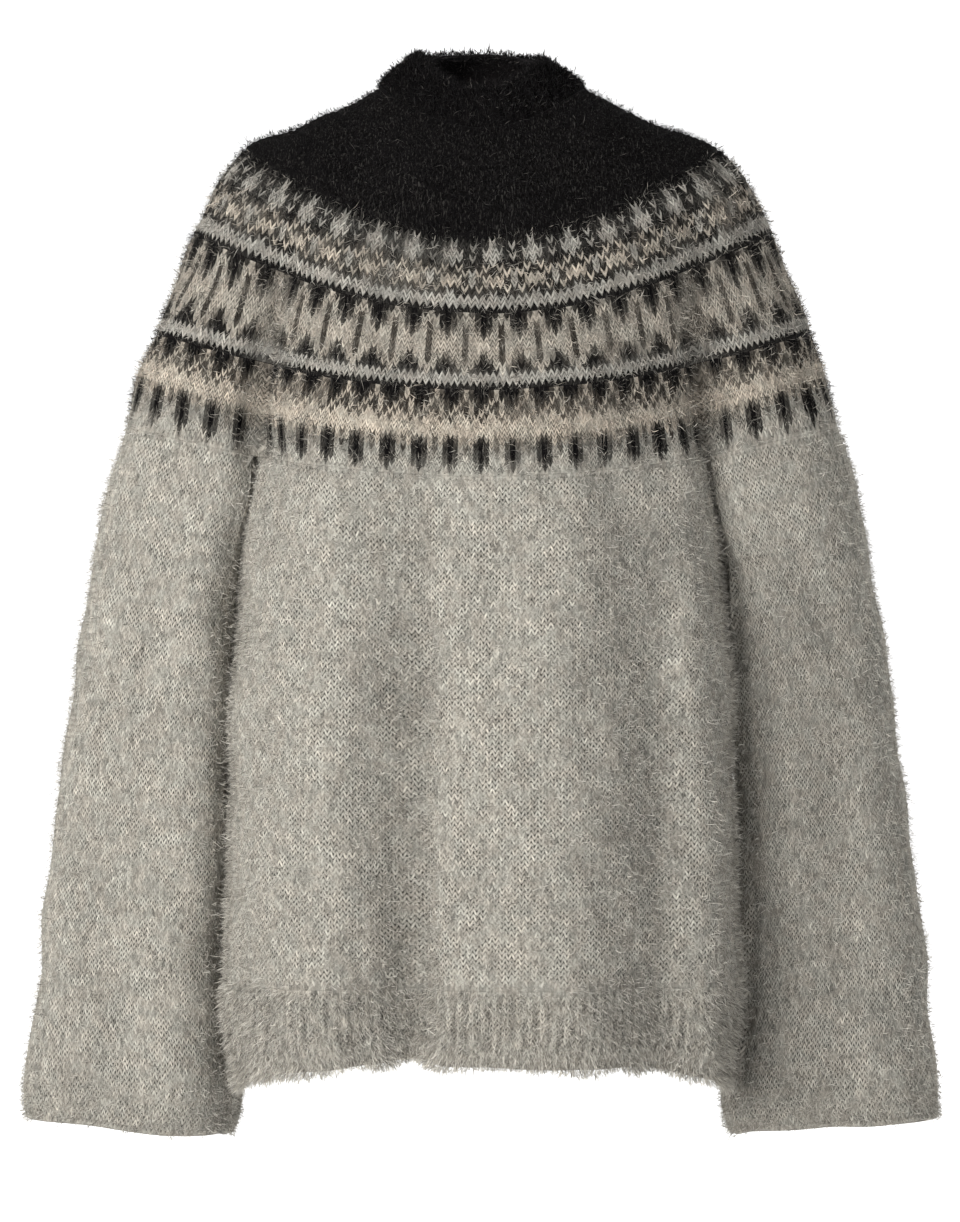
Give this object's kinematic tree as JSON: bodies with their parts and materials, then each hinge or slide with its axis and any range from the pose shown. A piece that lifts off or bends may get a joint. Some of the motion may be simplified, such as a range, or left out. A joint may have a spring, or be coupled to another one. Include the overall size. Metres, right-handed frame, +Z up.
{
  "type": "nordic yoke sweater",
  "caption": "Long loose wool sweater with a round patterned yoke, ribbed funnel collar, ribbed hem and wide open sleeves, filled out with no wearer.",
  "frame": {"origin": "the point on the wearer's neck that carries the sweater: on the middle plane, level with the high point of the shoulder", "axes": "+Z up, front of the sweater towards -Y, the wearer's left sleeve at +X"},
  "size_m": [0.6822, 0.2394, 0.8106],
  "materials": {
    "black_wool": "brushed black wool, ribbed",
    "yoke_wool": "brushed stranded knit, black with grey, beige and brown motifs",
    "grey_wool": "brushed heather grey wool, plain knit",
    "grey_rib": "brushed heather grey wool, ribbed"
  },
  "bodies": {
    "root": {"collar": "black_wool", "yoke": "yoke_wool", "body_front": "grey_wool", "body_back": "grey_wool", "hem_rib_front": "grey_rib", "hem_rib_back": "grey_rib", "sleeve_left": "grey_wool", "sleeve_right": "grey_wool"}
  },
  "joints": []
}
